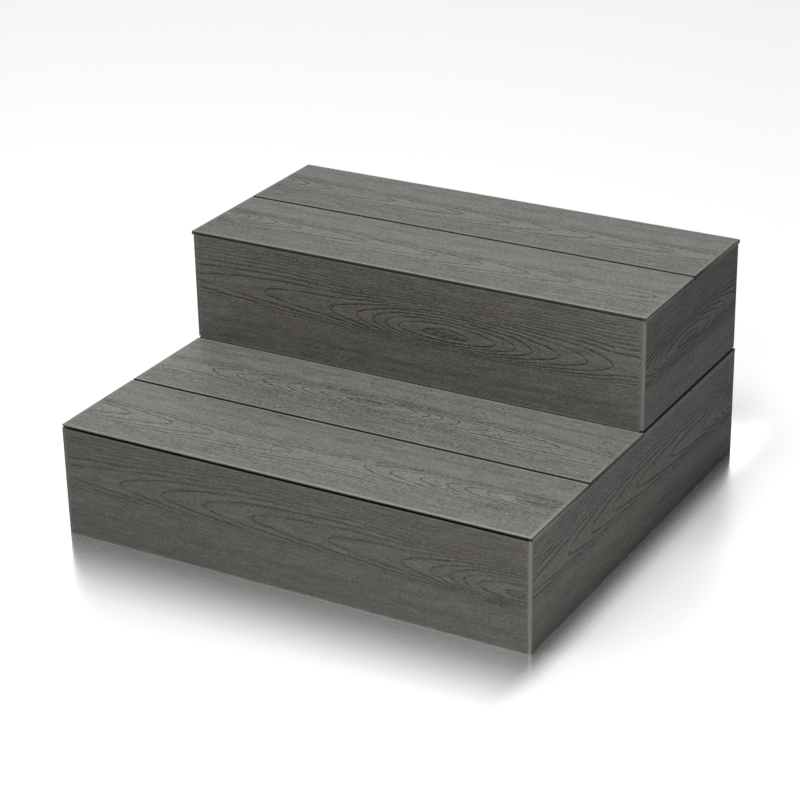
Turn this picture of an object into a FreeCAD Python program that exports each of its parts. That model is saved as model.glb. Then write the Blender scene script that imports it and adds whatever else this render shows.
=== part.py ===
"""Two-tier spa steps: two boxes of composite boards, a full-depth lower one and a half-depth upper one.

Millimetres. +Z is up, the steps face -Y and their width runs along X. The origin is on the floor, under
the middle of the whole object. Each box has mitred skirt boards round a timber frame, and tread boards
held by hidden clips. Every separate piece is written to parts/NAME.step.
"""

import FreeCAD
import Part

import math
import os

# Overall sizes
WIDTH = 813.0
LOWER_GOING = 380.0
LOWER_PANEL_HEIGHT = 183.0
UPPER_PANEL_HEIGHT = 181.0
MODULE_GAP = 3.0
FASCIA_CLEARANCE = 0.4

# Tread boards
LOWER_BOARD_WIDTH = 188.0
UPPER_BOARD_WIDTH = 181.0
UPPER_BOARD_COUNT = 2
BOARD_GAP = 5.0
TREAD_THICKNESS = 22.0
EDGE_BAND = 7.0
FRONT_LIP = 2.0
EDGE_ROUND = 1.5
END_ROUND = 3.0
LOWER_OVERHANG = 0.0
UPPER_OVERHANG = 1.5
LOWER_REVEAL_STOP = 0.0
UPPER_REVEAL_STOP = 6.5

# Skirt panels
PANEL_THICKNESS = 20.0
CORNER_STRIP = 5.0
CORNER_ROUND = 1.5

# Timber frame
TIMBER = 38.0
RAIL_HEIGHT = 89.0
JOIST_COUNT = 4
PAD_THICKNESS = 3.0

# Hidden tread clips: a flat plate that sits in a slot along the edges of two boards, at mid-thickness
CLIP_THICKNESS = 2.0
CLIP_WIDTH = 20.0
CLIP_REACH = 12.0
SLOT_CLEARANCE = 0.5

# Angle plates
PLATE_THICKNESS = 2.0
PLATE_MARGIN = 2.0
FRAME_ANGLE_LEG = 40.0
FRAME_ANGLE_REACH = 25.0
EDGE_ANGLE_LEG = 25.0
EDGE_ANGLE_WIDTH = 20.0

# Screws. BITE is how far one goes into the last piece that it holds.
WASHER_RADIUS = 12.0
WASHER_THICKNESS = 2.0
HOLE_CLEARANCE = 0.1
PLATE_HOLE_CLEARANCE = 0.3
TIP_LENGTH = 4.0
HEAD_TOP_SHARE = 0.7
HEAD_RIM_SHARE = 0.4
CLIP_BITE = 20.0
PLATE_BITE = 14.0
PANEL_BITE = 12.0
COACH_BITE = 30.0
CLIP_SCREW = {
    "length": (TREAD_THICKNESS + CLIP_THICKNESS) / 2 + CLIP_BITE,
    "shank": 1.5, "head": 2.2, "head_height": 1.6,
}
ANGLE_SCREW = {"length": PLATE_THICKNESS + PLATE_BITE, "shank": 2.0, "head": 4.0, "head_height": 2.2}
PANEL_SCREW = {"length": TIMBER + PANEL_BITE, "shank": 2.0, "head": 4.0, "head_height": 2.2}
COACH_SCREW = {
    "length": WASHER_THICKNESS + TIMBER + MODULE_GAP + TREAD_THICKNESS + COACH_BITE,
    "shank": 4.0, "head": 6.5, "head_height": 5.5,
}

X_AXIS = FreeCAD.Vector(1, 0, 0)
Y_AXIS = FreeCAD.Vector(0, 1, 0)
Z_AXIS = FreeCAD.Vector(0, 0, 1)

pieces = {}
holes = {}


def vector(x, y, z):
    return FreeCAD.Vector(x, y, z)


def box(x_range, y_range, z_range):
    """A block between two opposite corners, given as a low and a high value on each axis."""
    low = vector(min(x_range), min(y_range), min(z_range))
    high = vector(max(x_range), max(y_range), max(z_range))
    size = high - low
    return Part.makeBox(size.x, size.y, size.z, low)


def on_plane(plane, a, b, depth):
    """The point with coordinates a and b in a plane named by its two axes, at a depth along the third."""
    if plane == "XY":
        return vector(a, b, depth)
    if plane == "XZ":
        return vector(a, depth, b)
    return vector(depth, a, b)


def without_repeats(outline):
    """Drops a corner that falls on the one before it, as happens when a board has no overhang."""
    kept = []
    for corner in outline:
        previous = kept[-1] if kept else outline[-1]
        if math.dist(corner[:2], previous[:2]) > 1e-6:
            kept.append(corner)
    return kept


def prism(plane, outline, depth_range):
    """Extrudes an outline. A corner is (a, b), or (a, b, radius) where it is rounded."""
    corners = without_repeats(outline)
    depth = min(depth_range)
    points = [on_plane(plane, corner[0], corner[1], depth) for corner in corners]
    starts = []
    ends = []
    edges = []
    for index, corner in enumerate(corners):
        radius = corner[2] if len(corner) == 3 else 0.0
        here = points[index]
        if radius == 0.0:
            starts.append(here)
            ends.append(here)
            continue
        back = (points[index - 1] - here).normalize()
        ahead = (points[(index + 1) % len(points)] - here).normalize()
        half_angle = back.getAngle(ahead) / 2
        start = here + back * (radius / math.tan(half_angle))
        end = here + ahead * (radius / math.tan(half_angle))
        inward = (back + ahead).normalize()
        middle = here + inward * (radius / math.sin(half_angle) - radius)
        starts.append(start)
        ends.append(end)
        edges.append(Part.Arc(start, middle, end).toShape())
    for index, end in enumerate(ends):
        following = starts[(index + 1) % len(starts)]
        if (following - end).Length > 1e-6:
            edges.append(Part.LineSegment(end, following).toShape())
    face = Part.Face(Part.Wire(Part.__sortEdges__(edges)))
    direction = on_plane(plane, 0.0, 0.0, max(depth_range) - depth)
    return face.extrude(direction)


def mirrored_outline(half_outline):
    """Closes an outline that is the same on both sides of a = 0, from its right half, top to bottom."""
    left = [(-corner[0],) + tuple(corner[1:]) for corner in reversed(half_outline)]
    return list(half_outline) + left


def evenly(low, high, count):
    """Count places from low to high, both ends included."""
    return [low + (high - low) * step / (count - 1) for step in range(count)]


def screw(kind, seat, direction):
    """A pan-head screw: a flat-bottomed head on the seat, a shank and a pointed tip along direction."""
    length, shank = kind["length"], kind["shank"]
    outline = [
        vector(0, 0, -kind["head_height"]),
        vector(kind["head"] * HEAD_TOP_SHARE, 0, -kind["head_height"]),
        vector(kind["head"], 0, -kind["head_height"] * HEAD_RIM_SHARE),
        vector(kind["head"], 0, 0),
        vector(shank, 0, 0),
        vector(shank, 0, length - TIP_LENGTH),
        vector(0, 0, length),
    ]
    face = Part.Face(Part.makePolygon(outline + outline[:1]))
    solid = face.revolve(vector(0, 0, 0), Z_AXIS, 360)
    turn = FreeCAD.Rotation(Z_AXIS, direction)
    solid.Placement = FreeCAD.Placement(seat, turn)
    return solid


def drill(names, kind, seat, direction):
    """Notes a round hole for a screw in each named piece. The holes are cut when everything is placed."""
    hole = Part.makeCylinder(kind["shank"] + HOLE_CLEARANCE, kind["length"] + HOLE_CLEARANCE, seat, direction)
    for name in names:
        holes.setdefault(name, []).append(hole)


def plate_hole(kind, seat, direction):
    """The hole for a screw in the metal plate or pad under its head."""
    low = seat - direction * PLATE_THICKNESS
    return Part.makeCylinder(kind["shank"] + PLATE_HOLE_CLEARANCE, 3 * PLATE_THICKNESS, low, direction)


class Box:
    """The planes that the pieces of one box share: its deck's outline and its panels' faces."""

    def __init__(self, name, y_range, z_base, panel_height, overhang, reveal_stop, boards):
        self.name = name
        self.y_front, self.y_back = y_range
        self.z_base = z_base
        self.fascia_base = z_base
        self.band = z_base + panel_height
        self.top = self.band + EDGE_BAND
        self.under = self.top - TREAD_THICKNESS
        self.overhang = overhang
        self.reveal_stop = reveal_stop
        self.boards = boards
        self.x_deck = WIDTH / 2
        self.x_out = self.x_deck - overhang
        self.x_in = self.x_out - PANEL_THICKNESS
        self.x_frame = self.x_in - TIMBER
        self.y_out = (self.y_front + overhang, self.y_back - overhang)
        self.y_in = (self.y_out[0] + PANEL_THICKNESS, self.y_out[1] - PANEL_THICKNESS)
        self.y_frame = (self.y_in[0] + TIMBER, self.y_in[1] - TIMBER)
        self.rail_low = self.under - RAIL_HEIGHT
        self.slope = TREAD_THICKNESS - EDGE_BAND
        self.side_slope = min(self.slope, PANEL_THICKNESS - CORNER_STRIP)
        self.joist_x = evenly(-self.x_in + TIMBER / 2, self.x_in - TIMBER / 2, JOIST_COUNT)
        self.bay_x = [-2 * self.joist_x[-1] / 3, 0.0, 2 * self.joist_x[-1] / 3]

    def node(self, name):
        return self.name + "_" + name


def board_places(y_front, count, width):
    """The front and back edge of each of count tread boards, from the front one back."""
    starts = [y_front + index * (width + BOARD_GAP) for index in range(count)]
    return [(start, start + width) for start in starts]


def lower_board_places(y_front, y_back):
    """Full-width boards across the going, then boards cut to one even width under the upper box."""
    pitch = LOWER_BOARD_WIDTH + BOARD_GAP
    full_count = round((LOWER_GOING + BOARD_GAP) / pitch)
    cut_start = y_front + full_count * pitch
    cut_count = math.ceil((y_back - cut_start + BOARD_GAP) / pitch)
    cut_width = (y_back - cut_start + BOARD_GAP) / cut_count - BOARD_GAP
    full_boards = board_places(y_front, full_count, LOWER_BOARD_WIDTH)
    return full_boards + board_places(cut_start, cut_count, cut_width)


def tread_board(part, index):
    """One tread board, with mitred ends, rounded edges, and a slot for the clips beside each gap."""
    start, end = part.boards[index]
    slope = part.slope
    x_strip = part.x_out - CORNER_STRIP
    x_mitre = x_strip - part.side_slope
    ends = mirrored_outline([
        (part.x_deck, part.top, END_ROUND),
        (part.x_deck, part.band),
        (x_strip, part.band),
        (x_mitre, part.band - part.side_slope),
        (x_mitre, part.under),
    ])
    slot_top = part.top - TREAD_THICKNESS / 2 + CLIP_THICKNESS / 2 + SLOT_CLEARANCE
    slot_low = slot_top - CLIP_THICKNESS - 2 * SLOT_CLEARANCE
    slot_reach = CLIP_REACH + SLOT_CLEARANCE
    if index == 0:
        front = [
            (part.y_out[0] + slope, part.under),
            (part.y_out[0], part.band),
            (start, part.band),
            (start, part.top, EDGE_ROUND),
        ]
    else:
        front = [
            (start, part.under),
            (start, slot_low),
            (start + slot_reach, slot_low),
            (start + slot_reach, slot_top),
            (start, slot_top),
            (start, part.top, EDGE_ROUND),
        ]
    if index == len(part.boards) - 1:
        back = [
            (end, part.top, END_ROUND),
            (end, part.band),
            (part.y_out[1], part.band),
            (part.y_out[1] - slope, part.under),
        ]
    else:
        back = [
            (end, part.top, EDGE_ROUND),
            (end, slot_top),
            (end - slot_reach, slot_top),
            (end - slot_reach, slot_low),
            (end, slot_low),
            (end, part.under),
        ]
    board = prism("XZ", ends, (start, end)).common(prism("YZ", front + back, (-part.x_deck, part.x_deck)))
    if index == 0:
        board = board.cut(front_undercut(part))
    return board


def front_undercut(part):
    """The wedge that opens a shadow gap between the front tread board and the fascia, and ends with it."""
    depth = min(TREAD_THICKNESS - FRONT_LIP, PANEL_THICKNESS)
    reach = part.x_deck - part.reveal_stop
    wedge = [
        (part.y_front - FRONT_LIP, part.top - FRONT_LIP),
        (part.y_front, part.top - FRONT_LIP),
        (part.y_front + depth, part.top - FRONT_LIP - depth),
        (part.y_front + depth, part.under - FRONT_LIP),
        (part.y_front - FRONT_LIP, part.under - FRONT_LIP),
    ]
    return prism("YZ", wedge, (-reach, reach))


def side_panel(part, side):
    """A side panel. It shows a narrow strip at the front and back, and its top is mitred to the treads."""
    slope = PANEL_THICKNESS - CORNER_STRIP
    outer, inner = side * part.x_out, side * part.x_in
    strip = outer - side * CORNER_STRIP
    section = [
        (outer, part.z_base),
        (outer, part.band),
        (strip, part.band),
        (strip - side * part.side_slope, part.band - part.side_slope),
        (inner, part.band - part.side_slope),
        (inner, part.z_base),
    ]
    plan = [
        (outer, part.y_out[0], CORNER_ROUND),
        (outer, part.y_out[1], CORNER_ROUND),
        (strip, part.y_out[1]),
        (inner, part.y_out[1] - slope),
        (inner, part.y_out[0] + slope),
        (strip, part.y_out[0]),
    ]
    return prism("XZ", section, part.y_out).common(prism("XY", plan, (part.z_base, part.top)))


def cross_panel(part, end):
    """The front fascia (end 0) or the back panel (end 1), let in between the side panels' corner strips."""
    slope = PANEL_THICKNESS - CORNER_STRIP
    top_slope = min(part.slope, PANEL_THICKNESS)
    inward = 1 if end == 0 else -1
    outer, inner = part.y_out[end], part.y_in[end]
    base = part.fascia_base if end == 0 else part.z_base
    section = [
        (outer, base),
        (outer, part.band),
        (outer + inward * top_slope, part.band - top_slope),
        (inner, part.band - top_slope),
        (inner, base),
    ]
    plan = mirrored_outline([
        (part.x_out - CORNER_STRIP, outer),
        (part.x_in, outer + inward * slope),
        (part.x_in, inner),
    ])
    return prism("YZ", section, (-part.x_out, part.x_out)).common(prism("XY", plan, (base, part.top)))


def add_panels(part):
    pieces[part.node("front_fascia")] = cross_panel(part, 0)
    pieces[part.node("back_panel")] = cross_panel(part, 1)
    pieces[part.node("left_panel")] = side_panel(part, -1)
    pieces[part.node("right_panel")] = side_panel(part, 1)


def add_frame(part, post_base):
    """Corner posts, rails between them under the front and back edges, joists, and a leg under each rail."""
    for end, row in enumerate(("front", "back")):
        y_span = (part.y_in[end], part.y_frame[end])
        rail = box((-part.x_frame, part.x_frame), y_span, (part.rail_low, part.under))
        pieces[part.node(row + "_rail")] = rail
        leg = box((-TIMBER / 2, TIMBER / 2), y_span, (post_base, part.rail_low))
        pieces[part.node(row + "_leg")] = leg
        for side, hand in ((-1, "left"), (1, "right")):
            post = box((side * part.x_frame, side * part.x_in), y_span, (post_base, part.under))
            pieces[part.node(row + "_" + hand + "_post")] = post
    for index, x in enumerate(part.joist_x):
        joist = box((x - TIMBER / 2, x + TIMBER / 2), part.y_frame, (part.rail_low, part.under))
        pieces[joist_node(part, index)] = joist


def joist_node(part, index):
    return part.node("joist_" + str(index + 1))


def frame_angle(corner, x_way, y_way, z_range, x_piece, y_piece, screws):
    """An upright angle plate in the corner at corner, with two screws in each leg.

    Its legs run x_way along the piece named y_piece and y_way along the piece named x_piece.
    """
    x, y = corner
    thick, leg, reach = PLATE_THICKNESS, FRAME_ANGLE_LEG, FRAME_ANGLE_REACH
    along_x = box((x, x + x_way * leg), (y, y + y_way * thick), z_range)
    along_y = box((x, x + x_way * thick), (y, y + y_way * leg), z_range)
    plate = along_x.fuse(along_y).removeSplitter()
    z_low, z_high = z_range
    quarter = (z_high - z_low) / 4
    for z in (z_low + quarter, z_high - quarter):
        seats = (
            (vector(x + x_way * reach, y + y_way * thick, z), Y_AXIS * -y_way, y_piece),
            (vector(x + x_way * thick, y + y_way * reach, z), X_AXIS * -x_way, x_piece),
        )
        for seat, direction, target in seats:
            screws.append(screw(ANGLE_SCREW, seat, direction))
            drill([target], ANGLE_SCREW, seat, direction)
            plate = plate.cut(plate_hole(ANGLE_SCREW, seat, direction))
    return plate


def add_frame_angles(part):
    """Angle plates in the frame's four corners and at both ends of the inner joists."""
    z_range = (part.rail_low + PLATE_MARGIN, part.under - EDGE_ANGLE_LEG - PLATE_MARGIN)
    plates = []
    screws = []
    for end, row in enumerate(("front", "back")):
        y_way = 1 if end == 0 else -1
        for index, x in enumerate(part.joist_x):
            x_way = -1 if x > 0 else 1
            corner = (x + x_way * TIMBER / 2, part.y_frame[end])
            plate = frame_angle(
                corner, x_way, y_way, z_range, joist_node(part, index), part.node(row + "_rail"), screws
            )
            plates.append(plate)
    return plates, screws


def add_edge_angles(part):
    """Small angle plates that hold the outer edge of the front and back tread boards to the rails."""
    plates = []
    screws = []
    half = EDGE_ANGLE_WIDTH / 2
    thick, leg = PLATE_THICKNESS, EDGE_ANGLE_LEG
    reach = thick + (leg - thick) / 2
    rails = (part.node("front_rail"), part.node("back_rail"))
    for end in (0, 1):
        inward = 1 if end == 0 else -1
        face = part.y_frame[end]
        board = board_node(part, face + inward * reach)
        for x in part.bay_x:
            x_span = (x - half, x + half)
            upright = box(x_span, (face, face + inward * thick), (part.under - leg, part.under))
            flat = box(x_span, (face, face + inward * leg), (part.under - thick, part.under))
            plate = upright.fuse(flat).removeSplitter()
            seats = (
                (vector(x, face + inward * thick, part.under - reach), Y_AXIS * -inward, rails[end]),
                (vector(x, face + inward * reach, part.under - thick), Z_AXIS, board),
            )
            for seat, direction, target in seats:
                screws.append(screw(ANGLE_SCREW, seat, direction))
                drill([target], ANGLE_SCREW, seat, direction)
                plate = plate.cut(plate_hole(ANGLE_SCREW, seat, direction))
            plates.append(plate)
    return plates, screws


def add_panel_screws(part, clear_low):
    """Screws driven from inside, through the frame and into the back of each panel.

    The posts and legs take theirs in the free height between clear_low and the rails.
    """
    screws = []

    def drive(seat, direction, through, target):
        screws.append(screw(PANEL_SCREW, seat, direction))
        drill([through, target], PANEL_SCREW, seat, direction)

    crosses = (part.node("front_fascia"), part.node("back_panel"))
    third = (part.rail_low - clear_low) / 3
    low, high = clear_low + third, part.rail_low - third
    rail_middle = part.under - RAIL_HEIGHT / 2
    rail_foot = (rail_middle + part.rail_low) / 2
    for end, row in enumerate(("front", "back")):
        outward = Y_AXIS * (-1 if end == 0 else 1)
        face = part.y_frame[end]
        for x in part.bay_x:
            for z in (rail_middle, rail_foot):
                drive(vector(x, face, z), outward, part.node(row + "_rail"), crosses[end])
        drive(vector(0, face, low), outward, part.node(row + "_leg"), crosses[end])
        for side, hand in ((-1, "left"), (1, "right")):
            post = part.node(row + "_" + hand + "_post")
            x_middle = side * (part.x_in - TIMBER / 2)
            y_middle = (part.y_in[end] + face) / 2
            drive(vector(x_middle, face, low), outward, post, crosses[end])
            seat = vector(side * part.x_frame, y_middle, high)
            drive(seat, X_AXIS * side, post, part.node(hand + "_panel"))
    for side, hand, index in ((-1, "left", 0), (1, "right", JOIST_COUNT - 1)):
        for y in side_screw_places(part):
            seat = vector(side * part.x_frame, y, rail_foot)
            drive(seat, X_AXIS * side, joist_node(part, index), part.node(hand + "_panel"))
    return screws


def side_screw_places(part):
    """Under the middle of each tread board, which is clear of the clips at the gaps."""
    low, high = part.y_frame
    margin = FRAME_ANGLE_LEG + 2 * ANGLE_SCREW["head"]
    places = []
    for start, end in part.boards:
        middle = (start + end) / 2
        places.append(min(max(middle, low + margin), high - margin))
    return places


def add_clips(part):
    """A clip and a screw on every joist in every gap between two tread boards."""
    clips = []
    screws = []
    z_high = part.top - TREAD_THICKNESS / 2 + CLIP_THICKNESS / 2
    z_low = z_high - CLIP_THICKNESS
    for (_, end), (following, _) in zip(part.boards, part.boards[1:]):
        y = (end + following) / 2
        for index, x in enumerate(part.joist_x):
            y_span = (end - CLIP_REACH, following + CLIP_REACH)
            plate = box((x - CLIP_WIDTH / 2, x + CLIP_WIDTH / 2), y_span, (z_low, z_high))
            seat = vector(x, y, z_high)
            clips.append(plate.cut(plate_hole(CLIP_SCREW, seat, -Z_AXIS)))
            screws.append(screw(CLIP_SCREW, seat, -Z_AXIS))
            drill([joist_node(part, index)], CLIP_SCREW, seat, -Z_AXIS)
    return clips, screws


def pad(x, y, z, thickness):
    half = TIMBER / 2
    return box((x - half, x + half), (y - half, y + half), (z, z + thickness))


def standing_places(part):
    """The middle of each corner post and of each middle leg."""
    x_post = part.x_in - TIMBER / 2
    places = []
    for end in (0, 1):
        y = (part.y_in[end] + part.y_frame[end]) / 2
        places += [(x, y) for x in (-x_post, 0.0, x_post)]
    return places


def add_bearer(lower, upper):
    """The beam across the lower box, right under the upper box's fascia, with its angle plates and pads."""
    y_span = (upper.y_out[0], upper.y_out[0] + TIMBER)
    pieces["lower_cross_bearer"] = box((-lower.x_in, lower.x_in), y_span, (PAD_THICKNESS, lower.rail_low))
    z_range = (PAD_THICKNESS + PLATE_MARGIN, lower.rail_low - PLATE_MARGIN)
    plates = []
    screws = []
    for side, hand in ((-1, "left"), (1, "right")):
        plate = frame_angle(
            (side * lower.x_in, y_span[1]), -side, 1, z_range,
            "lower_" + hand + "_panel", "lower_cross_bearer", screws,
        )
        plates.append(plate)
    middle = (y_span[0] + y_span[1]) / 2
    pads = [pad(x, middle, 0.0, PAD_THICKNESS) for x in (lower.joist_x[0], 0.0, lower.joist_x[-1])]
    return plates, screws, pads


def add_hold_downs(lower, upper):
    """Cleats along the sides of the upper box, with coach screws down into the lower box's outer joists."""
    bolts = []
    washers = []
    spacers = []
    x_middle = upper.x_in - TIMBER / 2
    cleat_top = upper.z_base + TIMBER
    for side, hand, index in ((-1, "left", 0), (1, "right", JOIST_COUNT - 1)):
        name = upper.node(hand + "_cleat")
        x_span = (side * upper.x_frame, side * upper.x_in)
        pieces[name] = box(x_span, upper.y_frame, (upper.z_base, cleat_top))
        for y in hold_down_places(lower, upper):
            spot = vector(side * x_middle, y, cleat_top)
            seat = spot + Z_AXIS * WASHER_THICKNESS
            disc = Part.makeCylinder(WASHER_RADIUS, WASHER_THICKNESS, spot, Z_AXIS)
            washers.append(disc.cut(plate_hole(COACH_SCREW, seat, -Z_AXIS)))
            bolts.append(coach_screw(seat))
            bore = Part.makeCylinder(
                COACH_SCREW["shank"] + PLATE_HOLE_CLEARANCE, MODULE_GAP, vector(spot.x, y, lower.top), Z_AXIS
            )
            spacers.append(pad(spot.x, y, lower.top, MODULE_GAP).cut(bore))
            under = [board_node(lower, y), joist_node(lower, index), name]
            drill(under, COACH_SCREW, seat, -Z_AXIS)
    return bolts, washers, spacers


def hold_down_places(lower, upper):
    """The middle of what the two widest lower tread boards offer under the upper box's cleats."""
    spans = []
    for start, end in lower.boards:
        low, high = max(start, upper.y_frame[0]), min(end, upper.y_frame[1])
        spans.append((high - low, (low + high) / 2))
    return [middle for _, middle in sorted(spans)[-2:]]


def board_node(part, y):
    """The name of the tread board that lies at a distance y from the middle."""
    for index, (start, end) in enumerate(part.boards):
        if start < y < end:
            return part.node("tread_" + str(index + 1))
    raise ValueError("no tread board there")


def coach_screw(seat):
    """A coach screw with a six-sided head, pointing down."""
    body = screw(COACH_SCREW, seat, -Z_AXIS)
    corners = []
    radius = COACH_SCREW["head"] / math.cos(math.pi / 6)
    for step in range(7):
        angle = step * math.pi / 3
        corners.append(seat + vector(radius * math.cos(angle), radius * math.sin(angle), 0))
    head = Part.Face(Part.makePolygon(corners)).extrude(Z_AXIS * COACH_SCREW["head_height"])
    return body.fuse(head).removeSplitter()


def main():
    upper_depth = UPPER_BOARD_COUNT * (UPPER_BOARD_WIDTH + BOARD_GAP) - BOARD_GAP
    depth = LOWER_GOING + upper_depth
    y_range = (-depth / 2, depth / 2)
    lower_boards = lower_board_places(*y_range)
    lower = Box(
        "lower", y_range, 0.0, LOWER_PANEL_HEIGHT, LOWER_OVERHANG, LOWER_REVEAL_STOP, lower_boards
    )
    upper_range = (y_range[1] - upper_depth, y_range[1])
    upper_boards = board_places(upper_range[0], UPPER_BOARD_COUNT, UPPER_BOARD_WIDTH)
    upper = Box(
        "upper", upper_range, lower.top + MODULE_GAP, UPPER_PANEL_HEIGHT, UPPER_OVERHANG,
        UPPER_REVEAL_STOP, upper_boards,
    )
    upper.fascia_base = lower.top + FASCIA_CLEARANCE
    clips = []
    clip_screws = []
    stands = (
        (lower, PAD_THICKNESS, PAD_THICKNESS),
        (upper, upper.z_base, upper.z_base + TIMBER),
    )
    for part, post_base, clear_low in stands:
        for index in range(len(part.boards)):
            pieces[part.node("tread_" + str(index + 1))] = tread_board(part, index)
        add_panels(part)
        add_frame(part, post_base)
        plates, screws = add_frame_angles(part)
        edge_plates, edge_screws = add_edge_angles(part)
        more_clips, more_screws = add_clips(part)
        clips += more_clips
        clip_screws += more_screws
        pieces[part.node("panel_screws")] = Part.makeCompound(add_panel_screws(part, clear_low))
        if part is lower:
            bearer_plates, bearer_screws, pads = add_bearer(lower, upper)
            plates += bearer_plates
            screws += bearer_screws
            pads += [pad(x, y, 0.0, PAD_THICKNESS) for x, y in standing_places(lower)]
            pieces["foot_pads"] = Part.makeCompound(pads)
        pieces[part.node("frame_angles")] = Part.makeCompound(plates)
        pieces[part.node("frame_angle_screws")] = Part.makeCompound(screws)
        pieces[part.node("edge_angles")] = Part.makeCompound(edge_plates)
        pieces[part.node("edge_angle_screws")] = Part.makeCompound(edge_screws)
    pieces["tread_clips"] = Part.makeCompound(clips)
    pieces["tread_clip_screws"] = Part.makeCompound(clip_screws)
    bolts, washers, spacers = add_hold_downs(lower, upper)
    spacers += [pad(x, y, lower.top, MODULE_GAP) for x, y in standing_places(upper)]
    pieces["coach_screws"] = Part.makeCompound(bolts)
    pieces["coach_screw_washers"] = Part.makeCompound(washers)
    pieces["module_spacers"] = Part.makeCompound(spacers)
    os.makedirs("parts", exist_ok=True)
    for name, shape in pieces.items():
        if name in holes:
            shape = shape.cut(holes[name])
        if not shape.isValid():
            raise ValueError(name + " is not a valid shape")
        shape.exportStep(os.path.join("parts", name + ".step"))
    print(len(pieces), "nodes,", sum(len(shape.Solids) for shape in pieces.values()), "solids")


main()
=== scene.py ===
# %% [markdown]
# # Spa steps in Blender
#
# The steps are two boxes of grey composite boards on a timber frame. The CAD model gives every piece its
# place and size. This lesson gives the boards their embossed wood grain, as real relief and as colour, and
# gives the frame, plates, screws, clips and pads their own finishes. Then it sets up a small studio.

# %% Load the fixed frame
import math

import bpy
import numpy as np
from mathutils import Matrix, Vector


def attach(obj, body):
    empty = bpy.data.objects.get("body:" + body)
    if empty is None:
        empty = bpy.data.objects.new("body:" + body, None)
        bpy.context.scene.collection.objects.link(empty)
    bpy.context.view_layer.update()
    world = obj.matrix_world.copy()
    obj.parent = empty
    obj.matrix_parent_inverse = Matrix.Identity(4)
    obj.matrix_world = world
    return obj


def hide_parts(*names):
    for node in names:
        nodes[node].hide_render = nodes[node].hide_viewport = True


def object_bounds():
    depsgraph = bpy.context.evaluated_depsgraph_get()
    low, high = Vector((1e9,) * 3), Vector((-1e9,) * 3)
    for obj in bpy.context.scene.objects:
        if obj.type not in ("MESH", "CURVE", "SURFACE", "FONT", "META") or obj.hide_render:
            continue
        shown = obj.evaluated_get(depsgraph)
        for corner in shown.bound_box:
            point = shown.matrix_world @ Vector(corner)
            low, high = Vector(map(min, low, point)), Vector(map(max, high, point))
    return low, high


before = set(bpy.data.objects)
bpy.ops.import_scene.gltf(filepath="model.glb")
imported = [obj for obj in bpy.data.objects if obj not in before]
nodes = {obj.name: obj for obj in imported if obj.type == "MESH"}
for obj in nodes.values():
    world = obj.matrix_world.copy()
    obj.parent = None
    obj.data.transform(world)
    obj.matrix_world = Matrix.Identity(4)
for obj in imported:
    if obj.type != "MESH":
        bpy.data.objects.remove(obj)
cad_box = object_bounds()
MM = 0.001
print(len(nodes), "CAD nodes, box", [tuple(round(v, 4) for v in corner) for corner in cad_box])

# %% [markdown]
# ## The figure that the boards are embossed with
#
# Composite boards get their wood grain from a steel roller, so one long figure repeats along every board.
# Each board is cut from it at another place, and the treads are turned end for end. The figure could be
# drawn line by line. Here it is a rule instead, as in a real tree: a growth line is a level of a smooth
# field. Down the middle the level rises and falls, so each line closes in a pointed arch there, and away
# from the middle the level drops evenly, so the lines run on side by side.

# %% The level along the middle of the figure
FIGURE_PERIOD = 1260.0
FIGURE_START = -36.0
LINES_PER_PERIOD = 5
# Each pair says how far along the figure, in millimetres, the middle reaches a line, and which line it is.
ARCH_TIPS = [
    (-36, 1), (107, 2), (182, 3), (260, 4), (345, 5), (478, 6), (604, 7), (652, 8), (682, 9), (705, 10),
    (727, 11), (770, 12), (812, 12.4), (852, 12), (899, 11), (934, 10), (962, 9), (1007, 8), (1057, 7),
    (1098, 6), (1175, 5.55), (1224, 6),
]


def softened(rule, s, reach):
    """The mean of a rule over a short stretch, which takes the corners off it."""
    steps = np.linspace(-reach, reach, 7)
    weights = 1 - np.abs(steps) / (reach * 1.3)
    return sum(w * rule(s + step) for w, step in zip(weights, steps)) / weights.sum()


def middle_level(s):
    """The line number along the middle of the figure, which grows evenly from one period to the next."""
    turns = np.floor((s - FIGURE_START) / FIGURE_PERIOD)
    places, levels = np.array(ARCH_TIPS, float).T
    return np.interp(s - turns * FIGURE_PERIOD, places, levels) + LINES_PER_PERIOD * turns


print("arches in one period of the figure:", len(ARCH_TIPS) - 2)

# %% Where the middle of the figure lies, and how blunt its arches are
AXIS_PLACES = [-36, 340, 478, 604, 727, 900, 1000, 1098, 1200, 1224]
AXIS_DEPTHS = [81, 81, 85, 91, 96, 96, 94, 91, 83, 81]
BLUNT_PLACES = [-36, 520, 727, 812, 900, 1040, 1180, 1224]
BLUNT_SIZES = [72, 72, 28, 24, 28, 60, 72, 72]
LINE_SPACING = 3.6
LOWER_SQUEEZE = 1.4
FIGURE_EYE = 812.0
HEART_SIZE = (34.0, 6.0)
AXIS_SOFTNESS = 40
BLUNT_SOFTNESS = 60
TIP_SOFTNESS = 9
SLOWEST_RATE = 0.006


def along_period(places, values):
    """A rule that takes the given values at the given places, and repeats with the figure."""
    return lambda s: np.interp((s - FIGURE_START) % FIGURE_PERIOD + FIGURE_START, places, values)


def above_middle(s, t):
    """How far a point lies above the middle of the figure, in millimetres."""
    return softened(along_period(AXIS_PLACES, AXIS_DEPTHS), s, AXIS_SOFTNESS) - t


def figure_level(s, t):
    """The line number at s along the figure and t across it, both in millimetres."""
    above = above_middle(s, t)
    offset = np.where(above > 0, above, above * LOWER_SQUEEZE)
    blunt = softened(along_period(BLUNT_PLACES, BLUNT_SIZES), s, BLUNT_SOFTNESS)
    return softened(middle_level, s, TIP_SOFTNESS) - (np.hypot(offset, blunt) - blunt) / LINE_SPACING


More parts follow.
